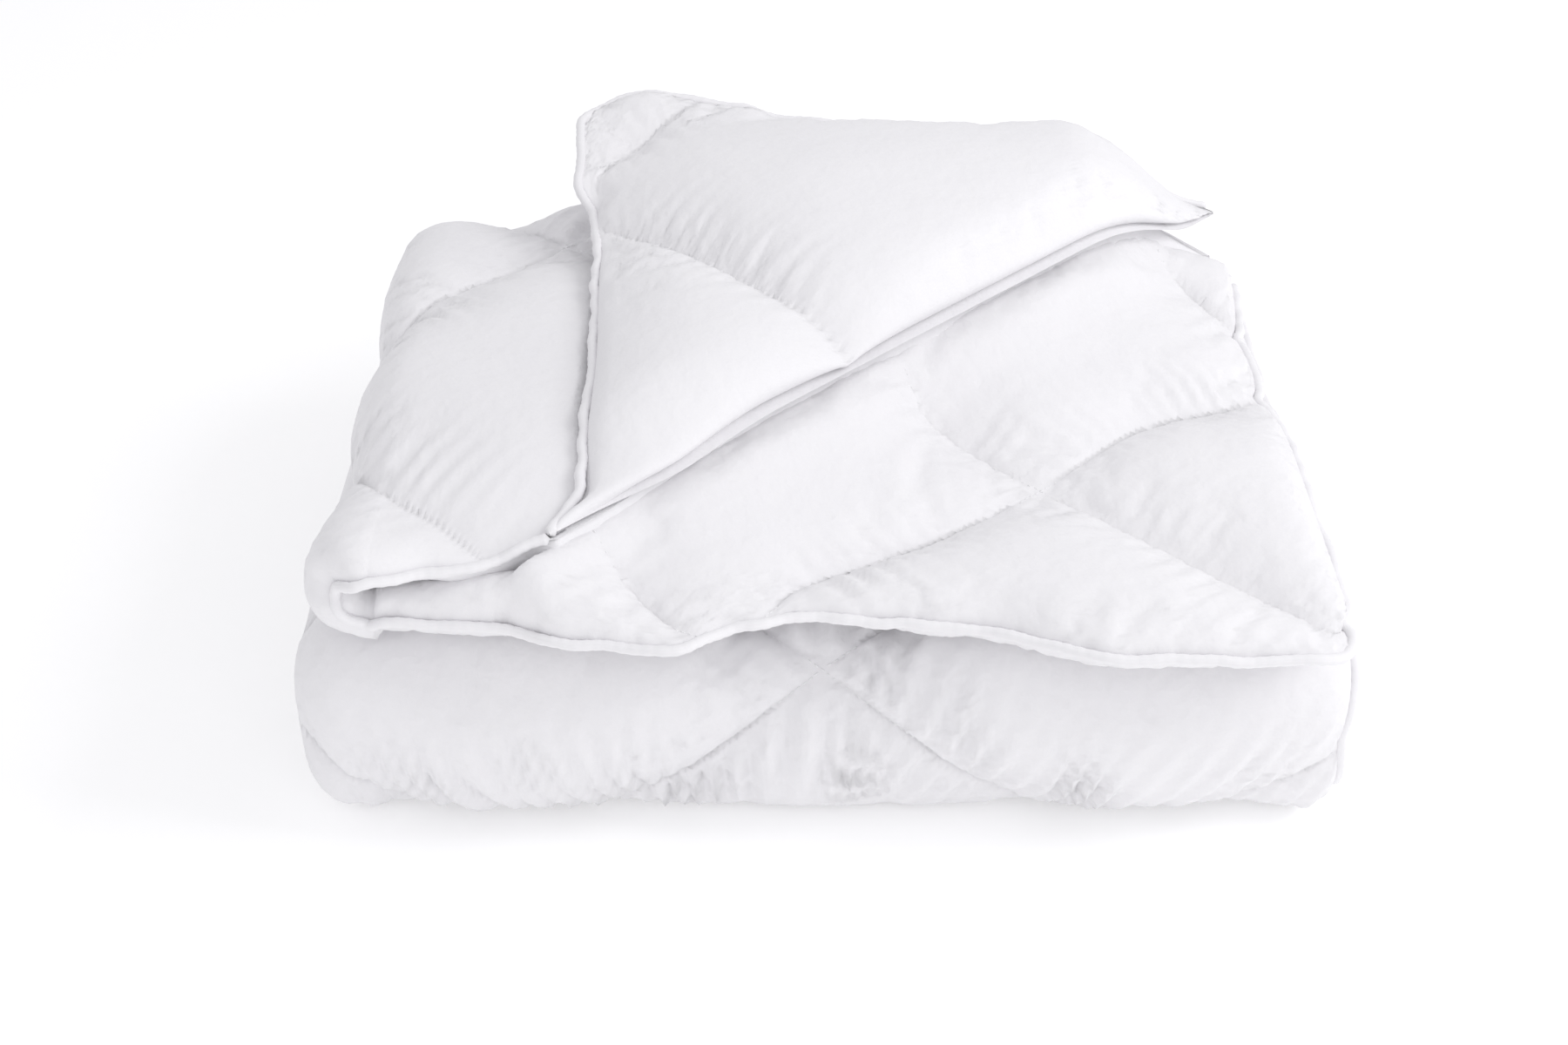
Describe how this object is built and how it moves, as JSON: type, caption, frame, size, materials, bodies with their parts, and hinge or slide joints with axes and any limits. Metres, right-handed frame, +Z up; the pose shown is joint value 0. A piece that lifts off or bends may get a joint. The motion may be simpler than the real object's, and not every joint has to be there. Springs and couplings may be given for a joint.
{
  "type": "folded quilted duvet",
  "caption": "White padded duvet with piped edges and diamond quilting, folded into a low stack with its top corner turned back.",
  "frame": {"origin": "centre of the folded stack's box on the floor, under the bottom part", "axes": "+X towards the piped side edges, away from the side fold; +Y back, away from the top part's free edge; +Z up"},
  "size_m": [0.724, 0.598, 0.3134],
  "materials": {
    "face_cloth": "matte",
    "reverse_cloth": "matte",
    "piping": "matte",
    "thread": "satin",
    "wadding": "matte"
  },
  "bodies": {
    "base": {"base_face_cover": "face_cloth", "base_reverse_cover": "reverse_cloth", "base_lower_filling": "wadding", "base_upper_filling": "wadding", "base_side_fold": "face_cloth", "base_piping": "piping", "base_front_stitching": "thread"},
    "middle": {"middle_face_cover": "face_cloth", "middle_reverse_cover": "reverse_cloth", "middle_lower_filling": "wadding", "middle_upper_filling": "wadding", "middle_side_fold": "face_cloth", "middle_piping": "piping", "middle_front_stitching": "thread"},
    "top": {"under_face_cover": "face_cloth", "under_reverse_cover": "reverse_cloth", "under_filling": "wadding", "under_piping": "piping", "under_stitching": "thread", "over_face_cover": "face_cloth", "over_reverse_cover": "reverse_cloth", "over_filling": "wadding", "over_piping": "piping", "over_stitching": "thread", "top_side_fold": "face_cloth"},
    "corner": {"corner_face_cover": "face_cloth", "corner_reverse_cover": "reverse_cloth", "corner_filling": "wadding", "corner_piping": "piping", "corner_stitching": "thread"}
  },
  "joints": [
    {"name": "front_fold", "type": "hinge", "parent": "base", "child": "middle", "pos_m": [0, -0.258, 0.08], "axis": [1, 0, 0], "range_deg": [0, 90]},
    {"name": "back_fold", "type": "hinge", "parent": "middle", "child": "top", "pos_m": [0, 0.299, 0.164], "axis": [-1, 0, 0], "range_deg": [0, 180]},
    {"name": "corner_fold", "type": "hinge", "parent": "top", "child": "corner", "pos_m": [-0.178, -0.227, 0.26], "axis": [0.7071, 0.7071, 0], "range_deg": [0, 180]}
  ]
}
